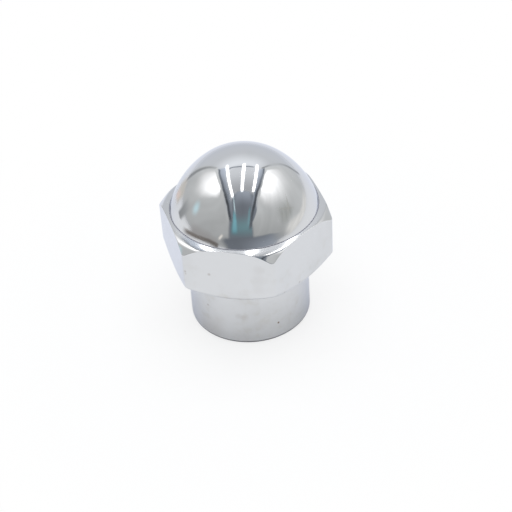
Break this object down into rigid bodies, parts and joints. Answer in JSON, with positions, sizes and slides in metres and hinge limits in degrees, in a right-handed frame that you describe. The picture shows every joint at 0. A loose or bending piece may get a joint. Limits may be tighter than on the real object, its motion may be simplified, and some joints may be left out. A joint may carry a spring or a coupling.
{
  "type": "axle shoulder nut",
  "caption": "Chromed closed-end axle nut: a spanner hexagon under a polished dome, with a round shoulder below that enters the fork end and a blind threaded hole for the axle.",
  "frame": {"origin": "centre of the shoulder's end face, which is the bottom of the part", "axes": "+Z along the thread's axis towards the top of the dome; two of the six spanner flats face +Y and -Y, and two corners point along +X and -X"},
  "size_m": [0.0252, 0.022, 0.0274],
  "materials": {
    "chrome": "mirror-polished bright chrome plate"
  },
  "bodies": {
    "root": {"nut": "chrome"}
  },
  "joints": []
}
